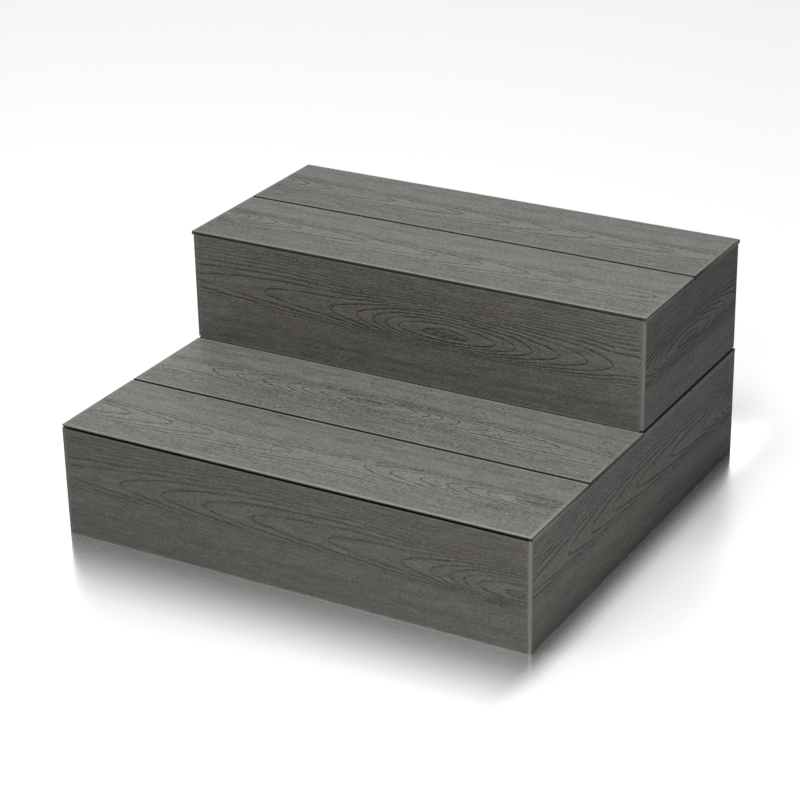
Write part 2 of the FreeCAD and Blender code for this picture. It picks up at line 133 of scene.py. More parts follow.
def line_strength(s, t):
    """Bold lines in the middle, faint ones towards the upper edge, and up to 2 in the heart of the eye."""
    above = above_middle(s, t)
    upper = np.interp(above, [0, 30, 48, 80], [1.0, 0.95, 0.6, 0.5])
    lower = np.interp(-above, [0, 22, 34, 58, 66, 74, 96], [1.0, 0.95, 0.15, 0.12, 0.5, 0.15, 0.35])
    from_eye = (s - FIGURE_START) % FIGURE_PERIOD + FIGURE_START - FIGURE_EYE
    heart = np.exp(-((from_eye / HEART_SIZE[0]) ** 2) - (above / HEART_SIZE[1]) ** 2)
    return np.where(above > 0, upper, lower) + heart


def figure_fields(s, t):
    """Level, how fast it changes (per millimetre), and line strength at each point."""
    level = figure_level(s, t)
    slope_s = figure_level(s + 0.5, t) - figure_level(s - 0.5, t)
    slope_t = figure_level(s, t + 0.5) - figure_level(s, t - 0.5)
    rate = np.maximum(np.hypot(slope_s, slope_t), SLOWEST_RATE)
    return level, rate, line_strength(s, t)


eye_level = figure_level(np.array([FIGURE_EYE]), np.array([float(max(AXIS_DEPTHS))]))[0]
print("level at the eye of the figure:", round(float(eye_level), 2))

# %% [markdown]
# ## A short way to write node trees
#
# The same grain is needed twice: geometry nodes push it into the board's face, and the shader colours it.
# Two hand-made trees would drift apart. So one small helper adds nodes to either kind of tree, and one
# function, used for both, builds the grain from them.

# %% The node helper


class Graph:
    """Adds nodes to a shader or geometry tree, and links or sets their inputs as it goes."""

    def __init__(self, tree):
        self.tree = tree

    def add(self, kind, inputs=None, **settings):
        node = self.tree.nodes.new(kind)
        for name, value in settings.items():
            setattr(node, name, value)
        for key, value in (inputs or {}).items():
            self.feed(node.inputs[key], value)
        return node

    def feed(self, socket, value):
        if isinstance(value, bpy.types.NodeSocket):
            self.tree.links.new(value, socket)
        else:
            socket.default_value = value

    def math(self, operation, a, b=0.0, c=0.0):
        return self.add("ShaderNodeMath", {0: a, 1: b, 2: c}, operation=operation).outputs[0]

    def ramp(self, value, low, high, to_low=0.0, to_high=1.0):
        """Maps low..high to to_low..to_high smoothly, and holds the ends."""
        inputs = {"Value": value, "From Min": low, "From Max": high, "To Min": to_low, "To Max": to_high}
        return self.add("ShaderNodeMapRange", inputs, interpolation_type="SMOOTHSTEP").outputs["Result"]

    def noise(self, place, stretch, detail=2.0, roughness=0.5):
        """Noise whose grains are stretch millimetres long on each axis."""
        scaled = self.add("ShaderNodeVectorMath", {0: place, 1: stretch}, operation="DIVIDE").outputs[0]
        inputs = {"Vector": scaled, "Scale": 1.0, "Detail": detail, "Roughness": roughness}
        return self.add("ShaderNodeTexNoise", inputs).outputs["Fac"]

    def attribute(self, name, output):
        """What a shader reads from a point attribute of the mesh."""
        return self.add("ShaderNodeAttribute", attribute_name=name).outputs[output]

    def blend(self, factor, a, b, mode="MIX"):
        """Mixes two colours."""
        node = self.add("ShaderNodeMix", data_type="RGBA", blend_type=mode)
        for key, value in (("Factor_Float", factor), ("A_Color", a), ("B_Color", b)):
            self.feed(next(socket for socket in node.inputs if socket.identifier == key), value)
        return next(socket for socket in node.outputs if socket.identifier == "Result_Color")


print("node helper ready")

# %% [markdown]
# ## The grain itself
#
# The roller cuts each growth line as a row of short, uneven strokes, and between the lines it leaves fine
# pores. In the heart of the eye the pores crowd together. The grain reads three point attributes of the
# board: figure_place says where the point lies on the figure, figure says its level, rate of change and
# strength, and show is 1 on the embossed face and 0 at its edges. A line is where the level is a whole
# number. Its distance in millimetres is what is left over, divided by the rate, so lines keep their width
# whether they are close together or far apart.

# %% Lines and pores, for either kind of tree
LINE_HALF_WIDTH = 2.9
WIDEST_STROKE = 1.25
WANDER = 1.6
HEART_CROWD = 0.14


def grain(graph, place, figure, show):
    """Sockets for how deep the growth lines and the pores are, each from 0 to 1."""
    parts = graph.add("ShaderNodeSeparateXYZ", {0: figure}).outputs
    level, rate, strength = parts[0], parts[1], parts[2]
    # Slow sways and fine jags each move a line by up to WANDER millimetres either way.
    wander = graph.math("MULTIPLY_ADD", graph.noise(place, (38.0, 9.0, 1.0), 1.0), 2 * WANDER, -WANDER)
    jagged = graph.math("MULTIPLY_ADD", graph.noise(place, (5.0, 2.6, 1.0), 1.0), 2 * WANDER, -WANDER)
    shift = graph.math("MULTIPLY", graph.math("ADD", wander, jagged), rate)
    shifted = graph.math("ADD", graph.math("ADD", level, shift), 0.5)
    part = graph.math("SUBTRACT", graph.math("FRACT", shifted), 0.5)
    distance = graph.math("DIVIDE", graph.math("ABSOLUTE", part), rate)
    # Short strokes swell and thin each line, and longer stretches of it fade.
    strokes = graph.noise(place, (7.5, 1.7, 1.0), 1.0)
    stretches = graph.noise(place, (70.0, 6.0, 1.0), 1.0)
    swell = graph.ramp(strokes, 0.32, 0.62, 0.3, WIDEST_STROKE)
    width = graph.math("MULTIPLY", swell, LINE_HALF_WIDTH)
    trough = graph.ramp(distance, 0.0, width, 1.0, 0.0)
    faded = graph.ramp(stretches, 0.3, 0.6, 0.45, 1.0)
    bold = graph.math("MULTIPLY", graph.math("MINIMUM", strength, 1.0), faded)
    lines = graph.math("MULTIPLY", graph.math("MULTIPLY", trough, bold), show)
    # Pores come in crowds, and they are closest together in the heart of the eye.
    heart = graph.ramp(strength, 1.05, 1.7)
    crowd = graph.math("MULTIPLY_ADD", heart, HEART_CROWD, graph.noise(place, (7.0, 1.3, 1.0), 1.0))
    specks = graph.ramp(crowd, 0.50, 0.66)
    crowded = graph.ramp(graph.noise(place, (90.0, 16.0, 1.0), 2.0), 0.35, 0.7, 0.3, 1.0)
    crowded = graph.math("MAXIMUM", crowded, heart)
    pores = graph.math("MULTIPLY", graph.math("MULTIPLY", specks, crowded), show)
    return lines, pores


print("a growth line is up to", round(2 * LINE_HALF_WIDTH * WIDEST_STROKE, 2), "mm wide")

# %% [markdown]
# ## Embossing with geometry nodes
#
# The relief follows a rule at every point, so geometry nodes suit it. Sculpting could not be repeated on
# twelve boards, and a bump map would leave the mesh flat. The tree moves each point of the face into the
# board by the depth of the grain there, and its depths are named inputs.

# %% The emboss tree
LINE_DEPTH = 0.8 * MM
PORE_DEPTH = 0.2 * MM


def emboss_tree():
    """Presses the grain into a board's face and gives the board its finish."""
    tree = bpy.data.node_groups.new("emboss", "GeometryNodeTree")
    interface = tree.interface
    interface.new_socket("Geometry", in_out="INPUT", socket_type="NodeSocketGeometry")
    interface.new_socket("Line Depth", in_out="INPUT", socket_type="NodeSocketFloat")
    interface.new_socket("Pore Depth", in_out="INPUT", socket_type="NodeSocketFloat")
    interface.new_socket("Into Board", in_out="INPUT", socket_type="NodeSocketVector")
    interface.new_socket("Finish", in_out="INPUT", socket_type="NodeSocketMaterial")
    interface.new_socket("Geometry", in_out="OUTPUT", socket_type="NodeSocketGeometry")
    graph = Graph(tree)
    given = graph.add("NodeGroupInput").outputs
    named = "GeometryNodeInputNamedAttribute"
    place = graph.add(named, {"Name": "figure_place"}, data_type="FLOAT_VECTOR").outputs[0]
    figure = graph.add(named, {"Name": "figure"}, data_type="FLOAT_VECTOR").outputs[0]
    show = graph.add(named, {"Name": "show"}, data_type="FLOAT").outputs[0]
    lines, pores = grain(graph, place, figure, show)
    line_depth = graph.math("MULTIPLY", lines, given["Line Depth"])
    depth = graph.math("MULTIPLY_ADD", pores, given["Pore Depth"], line_depth)
    push = {0: given["Into Board"], "Scale": depth}
    offset = graph.add("ShaderNodeVectorMath", push, operation="SCALE").outputs[0]
    move = {"Geometry": given["Geometry"], "Offset": offset}
    moved = graph.add("GeometryNodeSetPosition", move).outputs[0]
    whole = graph.add("GeometryNodeRealizeInstances", {0: moved}).outputs[0]
    coat = {"Geometry": whole, "Material": given["Finish"]}
    painted = graph.add("GeometryNodeSetMaterial", coat).outputs[0]
    graph.add("NodeGroupOutput", {0: painted})
    return tree


EMBOSS = emboss_tree()
print("emboss tree:", len(EMBOSS.nodes), "nodes")


def apply_tree(obj, tree, name, values):
    """Runs a geometry tree on an object with the given named inputs, and keeps the result as a plain mesh."""
    modifier = obj.modifiers.new("tree", "NODES")
    modifier.node_group = tree
    for item in tree.interface.items_tree:
        if item.in_out == "INPUT" and item.name in values:
            modifier[item.identifier] = values[item.name]
    result = bpy.data.meshes.new_from_object(obj.evaluated_get(bpy.context.evaluated_depsgraph_get()))
    obj.modifiers.remove(modifier)
    result.name = name
    obj.data = result
    return obj


# %% [markdown]
# ## The composite material
#
# The boards are wood-plastic composite: a matte grey body with soft warm patches where brown fibre shows
# through, darker growth lines and pores, and a painted highlight on the edges that catch the light. The
# growth lines are darkened by their stain and by painted shade in their grooves. The walls of the gaps
# between boards and the reveal under each front edge are painted nearly black as shade. The skirts are
# painted a darker grey than the treads, as shade on the upright faces, and every board has its own tone,
# which paints in the light and shade that fall on it. One function makes both materials, from the same
# grain as the relief. A picture of the grain could be wrapped round the boards too, but it would not line
# up with the relief.

# %% The material for treads and skirts
# Nearly black, for the painted shade in gaps, in reveals and under the upper box
SHADE_BLACK = (0.012, 0.012, 0.010, 1)
LINE_STAIN_AND_SHADE = 0.92
PORE_STAIN = 0.75
CLOUD_SHARE = 0.8
MOTTLE_LOW = 0.80
MOTTLE_HIGH = 1.18


def new_material(name):
    material = bpy.data.materials.new(name)
    material.use_nodes = True
    material.node_tree.nodes.clear()
    return material, Graph(material.node_tree)


def finish_material(graph, colour, roughness, height=None, bump=0.0, **shader):
    """Ends a material in a Principled shader, with an optional bump whose height is in millimetres."""
    inputs = {"Base Color": colour, "Roughness": roughness}
    inputs.update({name.replace("_", " "): value for name, value in shader.items()})
    body = graph.add("ShaderNodeBsdfPrincipled", inputs)
    if height is not None:
        bumped = graph.add("ShaderNodeBump", {"Height": height, "Distance": MM, "Strength": bump})
        graph.tree.links.new(bumped.outputs[0], body.inputs["Normal"])
    graph.add("ShaderNodeOutputMaterial", {"Surface": body.outputs[0]})


def composite(name, grey, warm, line_colour, highlight_colour, warmth, uneven):
    """Capped composite board: embossed grain, a painted highlight on the edges and painted shade in the
    grooves.
    """
    material, graph = new_material(name)
    place = graph.attribute("figure_place", "Vector")
    figure = graph.attribute("figure", "Vector")
    show = graph.attribute("show", "Fac")
    edge_highlight = graph.attribute("edge_highlight", "Fac")
    painted_shade = graph.attribute("painted_shade", "Fac")
    painted_light_tone = graph.attribute("painted_light_tone", "Fac")
    lines, pores = grain(graph, place, figure, show)
    patches = graph.ramp(graph.noise(place, (210.0, 75.0, 1.0), 2.0), 0.42, 0.72, 0.0, warmth)
    colour = graph.blend(patches, grey, warm)
    long_noise = graph.noise(place, (60.0, 3.2, 1.0), 3.0)
    streaks = graph.ramp(long_noise, 0.3, 0.7, 1 - uneven, 1 + uneven)
    broad_noise = graph.noise(place, (34.0, 9.0, 1.0), 2.0)
    clouds = graph.ramp(broad_noise, 0.3, 0.7, 1 - CLOUD_SHARE * uneven, 1 + CLOUD_SHARE * uneven)
    mottle = graph.ramp(graph.noise(place, (6.0, 2.4, 1.0), 3.0), 0.3, 0.7, MOTTLE_LOW, MOTTLE_HIGH)
    shade = graph.math("MULTIPLY", graph.math("MULTIPLY", streaks, clouds), mottle)
    # Painted light and shade: each board's tone brightens or darkens it to match the light on it
    shade = graph.math("MULTIPLY", shade, painted_light_tone)
    tone = graph.add("ShaderNodeCombineXYZ", {i: shade for i in range(3)})
    colour = graph.blend(1.0, colour, tone.outputs[0], "MULTIPLY")
    colour = graph.blend(graph.math("MULTIPLY", pores, PORE_STAIN), colour, line_colour)
    # The growth lines are darkened by their stain and by painted shade in their grooves
    colour = graph.blend(graph.math("MULTIPLY", lines, LINE_STAIN_AND_SHADE), colour, line_colour)
    # Painted highlight on the front treads' upper edges and the right panels' front corners
    colour = graph.blend(edge_highlight, colour, highlight_colour)
    # Painted shade: the gap walls and the reveals under the front edges go nearly black
    colour = graph.blend(painted_shade, colour, SHADE_BLACK)
    # The bump only adds what is finer than the mesh: the lines' crisp edges and a matte skin.
    fine = graph.noise(place, (1.6, 0.8, 1.0), 2.0)
    height = graph.math("MULTIPLY_ADD", lines, -0.5, graph.math("MULTIPLY", pores, -0.22))
    height = graph.math("MULTIPLY_ADD", fine, 0.07, height)
    roughness = graph.ramp(mottle, MOTTLE_LOW, MOTTLE_HIGH, 0.66, 0.54)
    finish_material(graph, colour, roughness, height, 0.7)
    return material


TREAD = composite(
    "tread_composite",
    grey=(0.146, 0.144, 0.131, 1),
    warm=(0.160, 0.145, 0.126, 1),
    line_colour=(0.016, 0.015, 0.013, 1),
    highlight_colour=(0.20, 0.20, 0.185, 1),
    warmth=0.4,
    uneven=0.13,
)
# The skirts' darker grey is painted shade on the upright faces
SHADED_SKIRT = composite(
    "skirt_composite_shaded",
    grey=(0.077, 0.075, 0.067, 1),
    warm=(0.090, 0.078, 0.065, 1),
    line_colour=(0.014, 0.013, 0.011, 1),
    highlight_colour=(0.115, 0.113, 0.105, 1),
    warmth=0.6,
    uneven=0.15,
)
print("composite materials:", TREAD.name, SHADED_SKIRT.name)

# %% [markdown]
# ## Building a board
#
# A board's edges, mitres and rounds are right in CAD, but its face is a few large triangles, which can't
# hold relief. Subdividing everything would waste points on hidden sides. So a board is a copy of its CAD
# mesh whose face is taken out and replaced by a fine grid. A thin flat border joins the grid to the old
# outline, point to point, so the shell stays closed.

# %% Take the face out of a merged copy
BORDER = 1.2 * MM
FADE = 3.5 * MM
SHARP_ANGLE = math.radians(50)
MERGE_STEP = 1e-6
SAME_PLANE = 2e-6
SAME_SIDE = 1e-5


def merged_copy(node):
    """The node's mesh with its loose triangles joined, as points and triangles."""
    mesh = nodes[node].data
    points = np.empty(len(mesh.vertices) * 3, np.float32)
    mesh.vertices.foreach_get("co", points)
    mesh.calc_loop_triangles()
    corners = np.empty(len(mesh.loop_triangles) * 3, np.int64)
    mesh.loop_triangles.foreach_get("vertices", corners)
    keys = np.round(points.reshape(-1, 3) / MERGE_STEP).astype(np.int64)
    _, first, where = np.unique(keys, axis=0, return_index=True, return_inverse=True)
    triangles = where.reshape(-1)[corners].reshape(-1, 3)
    same = (
        (triangles[:, 0] == triangles[:, 1])
        | (triangles[:, 1] == triangles[:, 2])
        | (triangles[:, 2] == triangles[:, 0])
    )
    return points.reshape(-1, 3)[first].astype(float), triangles[~same]


def split_face(points, triangles, axis, level):
    """Splits off the triangles that lie in the show face's plane."""
    flat = (np.abs(points[triangles][:, :, axis] - level) < SAME_PLANE).all(axis=1)
    return triangles[~flat], triangles[flat]


def outline_points(face):
    """The points on the outline of a set of triangles."""
    edges = np.sort(np.concatenate([face[:, [0, 1]], face[:, [1, 2]], face[:, [2, 0]]]), axis=1)
    edges, count = np.unique(edges, axis=0, return_counts=True)
    return np.unique(edges[count == 1])


print("sides of a fillet up to", round(math.degrees(SHARP_ANGLE)), "degrees apart are shaded smoothly")

# %% Stitch a fine grid into the opening


def zipper(outer, outer_at, inner, inner_at):
    """Triangles between two rows of points that run side by side, given each point's distance along."""
    made = []
    i = j = 0
    while i < len(outer) - 1 or j < len(inner) - 1:
        outer_next = outer_at[i + 1] if i < len(outer) - 1 else np.inf
        inner_next = inner_at[j + 1] if j < len(inner) - 1 else np.inf
        if outer_next < inner_next:
            made.append((outer[i], outer[i + 1], inner[j]))
            i += 1
        else:
            made.append((outer[i], inner[j + 1], inner[j]))
            j += 1
    return made


def fine_grid(points, rim, axis, level, step_along, step_across, along, across):
    """A grid inside the rim, the grid's triangles, and the border's triangles out to the rim."""
    low, high = points[rim].min(axis=0), points[rim].max(axis=0)
    a_low, a_high = low[along] + BORDER, high[along] - BORDER
    b_low, b_high = low[across] + BORDER, high[across] - BORDER
    a = np.linspace(a_low, a_high, int(round((a_high - a_low) / step_along)) + 1)
    b = np.linspace(b_low, b_high, int(round((b_high - b_low) / step_across)) + 1)
    grid = np.empty((len(a), len(b), 3))
    grid[:, :, along] = a[:, None]
    grid[:, :, across] = b[None, :]
    grid[:, :, axis] = level
    index = len(points) + np.arange(len(a) * len(b)).reshape(len(a), len(b))
    quads = np.stack([index[:-1, :-1], index[1:, :-1], index[1:, 1:], index[:-1, 1:]], axis=-1).reshape(-1, 4)
    triangles = [quads[:, [0, 1, 2]], quads[:, [0, 2, 3]]]
    sides = (
        (across, low[across], along, index[:, 0], a),
        (across, high[across], along, index[:, -1], a),
        (along, low[along], across, index[0, :], b),
        (along, high[along], across, index[-1, :], b),
    )
    for fixed, value, running, inner, inner_at in sides:
        outer = rim[np.abs(points[rim][:, fixed] - value) < SAME_SIDE]
        outer = outer[np.argsort(points[outer][:, running])]
        triangles.append(np.array(zipper(outer, points[outer][:, running], inner, inner_at)))
    return grid.reshape(-1, 3), np.concatenate(triangles)


def facing(points, triangles, axis, side):
    """Turns triangles over where they don't face the show side."""
    corner = points[triangles]
    normal = np.cross(corner[:, 1] - corner[:, 0], corner[:, 2] - corner[:, 0])[:, axis]
    wrong = normal * side < 0
    triangles[wrong] = triangles[wrong][:, ::-1]
    return triangles


print("the flat border round a grid is", BORDER / MM, "mm wide")

# %% [markdown]
# ## Which part of the figure each board shows
#
# A board is described by its show face's direction, the way it was cut from the figure, how fine its grid
# is, and its tone, which paints in the light and shade that fall on it. The middle of the figure's eye falls
# at eye_at along the board. A turned board has the figure the other way up and the other way round. The
# right panels' front corners and the front treads' upper edges get a painted highlight, and the walls of the
# gaps between boards get painted shade. The boards in the shade under the upper box, which nobody can
# see, keep their CAD shape.

# %% Where each point lies on the figure, and what its edges show


def set_points(mesh, name, kind, values):
    """Gives a mesh one point attribute."""
    field = "vector" if kind == "FLOAT_VECTOR" else "value"
    attribute = mesh.attributes.new(name, kind, "POINT")
    attribute.data.foreach_set(field, np.ascontiguousarray(values, np.float32).ravel())


def top_of(node):
    """The height of a CAD node's highest point, in millimetres."""
    return max(corner[2] for corner in nodes[node].bound_box) / MM


EDGE_BAND = top_of("lower_tread_1") - top_of("lower_front_fascia")
EDGE_ROUND = 1.5 * MM
CORNER_STRIP = 5 * MM
BELOW_ROUND = EDGE_ROUND * 0.9
ROUND_START = 0.1 * MM
WALL_START = 0.25 * MM
# How dark the painted shade is in the reveal under a front tread's edge
BAND_SHADE = 0.85
print("a skirt starts", round(EDGE_BAND, 2), "mm down its figure, where the tread's edge ends")


def figure_place(points, low, high, along, across, eye_at, turned, seed):
    """Where each point lies on the figure: along and across it, in millimetres."""
    u = (points[:, along] - low[along]) / MM
    if turned:
        s = FIGURE_EYE + eye_at - u
        t = (points[:, across] - low[across]) / MM
    else:
        s = FIGURE_EYE - eye_at + u
        t = (high[across] - points[:, across]) / MM + EDGE_BAND
    return np.stack([s, t, np.full(len(s), float(seed))], axis=1)


def edge_marks(node, points, low, high, depth):
    """How much painted highlight and how much painted shade each point gets, each from 0 to 1."""
    edge_highlight = np.zeros(len(points))
    painted_shade = np.zeros(len(points))
    below = depth > BELOW_ROUND
    front = points[:, 1] < low[1] + EDGE_ROUND
    back = points[:, 1] > high[1] - EDGE_ROUND
    # Painted highlight where the edges catch the light
    if node.endswith("right_panel"):
        edge_highlight[front & (depth < 2 * CORNER_STRIP)] = 1.0
    if node.endswith("_tread_1"):
        edge_highlight[front & ~below & (depth > ROUND_START)] = 1.0
        # Painted shade in the reveal under the front edge's round
        painted_shade[front & below] = BAND_SHADE
    # Painted shade on the walls of the gaps between boards
    if node.endswith("_tread_2"):
        painted_shade[front & (depth > WALL_START)] = 1.0
    if "_tread_" in node and node != "upper_tread_2":
        painted_shade[back & below] = 1.0
    return edge_highlight, painted_shade


# %% The board builder


def embossed_board(node, face, eye_at, turned, seed, steps, material, painted_light_tone):
    """Builds a board's visual piece. Face is the show face's direction, such as +z or -y."""
    name = node + "_board"
    axis = "xyz".index(face[1])
    side = 1 if face[0] == "+" else -1
    along, across = (0, 1) if axis == 2 else (0, 2) if axis == 1 else (1, 2)
    points, triangles = merged_copy(node)
    level = points[:, axis].max() if side > 0 else points[:, axis].min()
    shell, old_face = split_face(points, triangles, axis, level)
    rim = outline_points(old_face)
    grid, grown = fine_grid(points, rim, axis, level, steps[0] * MM, steps[1] * MM, along, across)
    everything = np.concatenate([points, grid])
    grown = facing(everything, grown, axis, side)
    mesh = bpy.data.meshes.new(name)
    mesh.from_pydata(everything.tolist(), [], np.concatenate([shell, grown]).tolist())
    mesh.shade_smooth()
    mesh.set_sharp_from_angle(angle=SHARP_ANGLE)
    low, high = points.min(axis=0), points.max(axis=0)
    place = figure_place(everything, low, high, along, across, eye_at, turned, seed)
    rim_low, rim_high = points[rim].min(axis=0), points[rim].max(axis=0)
    inset = np.minimum(everything - rim_low, rim_high - everything)[:, [along, across]].min(axis=1)
    depth = np.abs(everything[:, axis] - level)
    show = np.clip((inset - BORDER) / FADE, 0, 1) * (depth < SAME_PLANE)
    edge_highlight, painted_shade = edge_marks(node, everything, low, high, depth)
    set_points(mesh, "figure_place", "FLOAT_VECTOR", place)
    set_points(mesh, "figure", "FLOAT_VECTOR", np.stack(figure_fields(place[:, 0], place[:, 1]), axis=1))
    set_points(mesh, "show", "FLOAT", show)
    set_points(mesh, "edge_highlight", "FLOAT", edge_highlight)
    set_points(mesh, "painted_shade", "FLOAT", painted_shade)
    set_points(mesh, "painted_light_tone", "FLOAT", np.full(len(everything), painted_light_tone))
    board = bpy.data.objects.new(name, mesh)
    bpy.context.scene.collection.objects.link(board)
    into = Vector((0, 0, 0))
    into[axis] = -side
    values = {"Line Depth": LINE_DEPTH, "Pore Depth": PORE_DEPTH, "Into Board": into, "Finish": material}
    apply_tree(board, EMBOSS, name, values)
    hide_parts(node)
    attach(board, "root")
    print(node, "relief board:", len(board.data.polygons), "faces")
    return board


# %% The twelve boards that show
# Grid steps along and across a board, in millimetres
FINE = (2.8, 0.95)
PLAIN = (4.5, 1.5)
# Node, show face, eye_at in millimetres, turned, noise seed, grid steps, material and tone; the tone paints
# in the light and shade on each board
BOARDS = [
    ("lower_tread_1", "+z", 780, True, 1, FINE, TREAD, 1.04),
    ("lower_tread_2", "+z", 385, True, 2, FINE, TREAD, 1.16),
    ("upper_tread_1", "+z", -56, True, 3, FINE, TREAD, 0.92),
    ("upper_tread_2", "+z", -106, True, 4, FINE, TREAD, 0.93),
    ("lower_front_fascia", "-y", 807, False, 5, FINE, SHADED_SKIRT, 0.88),
    ("upper_front_fascia", "-y", 464, False, 6, FINE, SHADED_SKIRT, 1.12),
    ("lower_right_panel", "+x", 828, False, 7, FINE, SHADED_SKIRT, 0.98),
    ("upper_right_panel", "+x", 164, False, 8, FINE, SHADED_SKIRT, 0.76),
    ("lower_left_panel", "-x", 300, False, 9, PLAIN, SHADED_SKIRT, 1.00),
    ("upper_left_panel", "-x", 690, False, 10, PLAIN, SHADED_SKIRT, 0.92),
    ("lower_back_panel", "+y", 560, False, 11, PLAIN, SHADED_SKIRT, 1.06),
    ("upper_back_panel", "+y", 200, False, 12, PLAIN, SHADED_SKIRT, 0.96),
]
boards = [embossed_board(*row) for row in BOARDS]
print("faces in all boards:", sum(len(board.data.polygons) for board in boards))

# %% [markdown]
# ## Plain composite for the two covered boards
#
# Two lower tread boards lie under the upper box. Their material reads Object coordinates, because they
# keep the CAD mesh, which has no attributes of its own. Only their ends show, and they are painted the
# skirts' darker grey as shade. Their tops are painted black as shade, so the narrow gap between the boxes
# looks black.

# %% The covered boards
# How far below a board's top the painted shade is still full, and where it ends, in millimetres
SHADE_FULL = 1.2
SHADE_END = 2.2


def object_place(graph, turn=(0.0, 0.0, 0.0)):
    """Object coordinates in millimetres, turned so that the grain runs along X."""
    coordinates = graph.add("ShaderNodeTexCoord").outputs["Object"]
    inputs = {"Vector": coordinates, "Rotation": turn, "Scale": (1 / MM,) * 3}
    return graph.add("ShaderNodeMapping", inputs, vector_type="POINT").outputs[0]


def covered_composite():
    """Composite without relief, in a darker grey as shade, with painted shade on the boards' tops."""
    material, graph = new_material("covered_composite")
    place = object_place(graph)
    streaks = graph.ramp(graph.noise(place, (70.0, 4.0, 4.0), 3.0), 0.3, 0.7)
    colour = graph.blend(streaks, (0.066, 0.065, 0.060, 1), (0.092, 0.090, 0.083, 1))
    height = graph.add("ShaderNodeSeparateXYZ", {0: place}).outputs[2]
    top = top_of("lower_tread_3")
    # Painted shade: the tops go black under the upper box
    shaded_top = graph.ramp(height, top - SHADE_END, top - SHADE_FULL)
    colour = graph.blend(shaded_top, colour, SHADE_BLACK)
    finish_material(graph, colour, 0.6, streaks, 0.2)
    return material


def paint(material, *names):
    """Gives the named CAD nodes one material."""
    for name in names:
        slots = nodes[name].data.materials
        slots.clear()
        slots.append(material)
    print(material.name, "on", len(names), "CAD nodes")


paint(covered_composite(), "lower_tread_3", "lower_tread_4")

# %% [markdown]
# ## The timber frame
#
# The posts, rails, joists and cleats are planed softwood. Its growth rings show as long, soft bands on
# the faces, with fibres between them. Three materials from one function turn the grain along the length
# of each piece, because a band that ran across a beam would look wrong.

# %% Softwood along each axis
RING_SPACING = 7.0


def softwood(name, turn, offset):
    """Planed softwood. The turn sets which way the grain runs, and the offset moves the pattern."""
    material, graph = new_material(name)
    place = object_place(graph, turn)
    moved = graph.add("ShaderNodeVectorMath", {0: place, 1: offset}, operation="ADD").outputs[0]
    sway = graph.math("MULTIPLY_ADD", graph.noise(moved, (260.0, 40.0, 40.0), 1.0), 46.0, -23.0)
    parts = graph.add("ShaderNodeSeparateXYZ", {0: moved}).outputs
    across = graph.math("ADD", graph.math("MULTIPLY", parts[1], 0.8), graph.math("MULTIPLY", parts[2], 0.6))
    ring = graph.math("FRACT", graph.math("DIVIDE", graph.math("ADD", across, sway), RING_SPACING))
    late = graph.math("MULTIPLY", graph.ramp(ring, 0.45, 0.92), graph.ramp(ring, 0.93, 1.0, 1.0, 0.0))
    fibres = graph.ramp(graph.noise(moved, (45.0, 0.9, 0.9), 3.0), 0.3, 0.7)
    colour = graph.blend(late, (0.56, 0.42, 0.25, 1), (0.34, 0.21, 0.10, 1))
    colour = graph.blend(graph.math("MULTIPLY", fibres, 0.25), colour, (0.42, 0.31, 0.17, 1))
    finish_material(graph, colour, 0.62, graph.math("SUBTRACT", fibres, late), 0.18)
    return material


BOXES = ("lower", "upper")
ENDS = ("front", "back")
along_x = [f"{box}_{end}_rail" for box in BOXES for end in ENDS] + ["lower_cross_bearer"]
along_y = [f"{box}_joist_{n}" for box in BOXES for n in (1, 2, 3, 4)]
along_y += ["upper_left_cleat", "upper_right_cleat"]
uprights = [f"{box}_{end}_{hand}_post" for box in BOXES for end in ENDS for hand in ("left", "right")]
uprights += [f"{box}_{end}_leg" for box in BOXES for end in ENDS]
paint(softwood("softwood_rails", (0.0, 0.0, 0.0), (0.0, 17.0, 31.0)), *along_x)
paint(softwood("softwood_joists", (0.0, 0.0, math.pi / 2), (140.0, 5.0, 12.0)), *along_y)
paint(softwood("softwood_posts", (0.0, math.pi / 2, 0.0), (60.0, 9.0, 3.0)), *uprights)

# %% [markdown]
# ## Metal and rubber
#
# Zinc on hot-dipped plates freezes in flat crystals, the spangle, which a Voronoi pattern gives at their
# real size. Stainless screws are turned, so they have a fine satin surface. The clips are coated black,
# and the rubber pads are matte with a faint moulded texture.

# %% Plates, screws, clips and pads
SPANGLE = 6.0


def galvanised():
    """Hot-dipped zinc, with crystals SPANGLE millimetres wide."""
    material, graph = new_material("galvanised_plate")
    place = object_place(graph)
    scaled = graph.add("ShaderNodeVectorMath", {0: place, 1: (SPANGLE,) * 3}, operation="DIVIDE").outputs[0]
    crystal = graph.add("ShaderNodeTexVoronoi", {"Vector": scaled, "Scale": 1.0}).outputs["Color"]
    shade = graph.add("ShaderNodeSeparateColor", {0: crystal}).outputs[0]
    colour = graph.blend(shade, (0.50, 0.51, 0.53, 1), (0.68, 0.69, 0.70, 1))
    finish_material(graph, colour, graph.ramp(shade, 0.0, 1.0, 0.30, 0.48), Metallic=1.0)
    return material


def fine_finish(name, low, high, grain_size, roughness, bump, metallic):
    """A nearly even finish with a fine grain in its colour, gloss and height."""
    material, graph = new_material(name)
    speckle = graph.noise(object_place(graph), (grain_size,) * 3, 3.0)
    colour = graph.blend(graph.ramp(speckle, 0.3, 0.7), low, high)
    rough = graph.ramp(speckle, 0.3, 0.7, roughness - 0.06, roughness + 0.06)
    finish_material(graph, colour, rough, speckle, bump, Metallic=metallic)
    return material


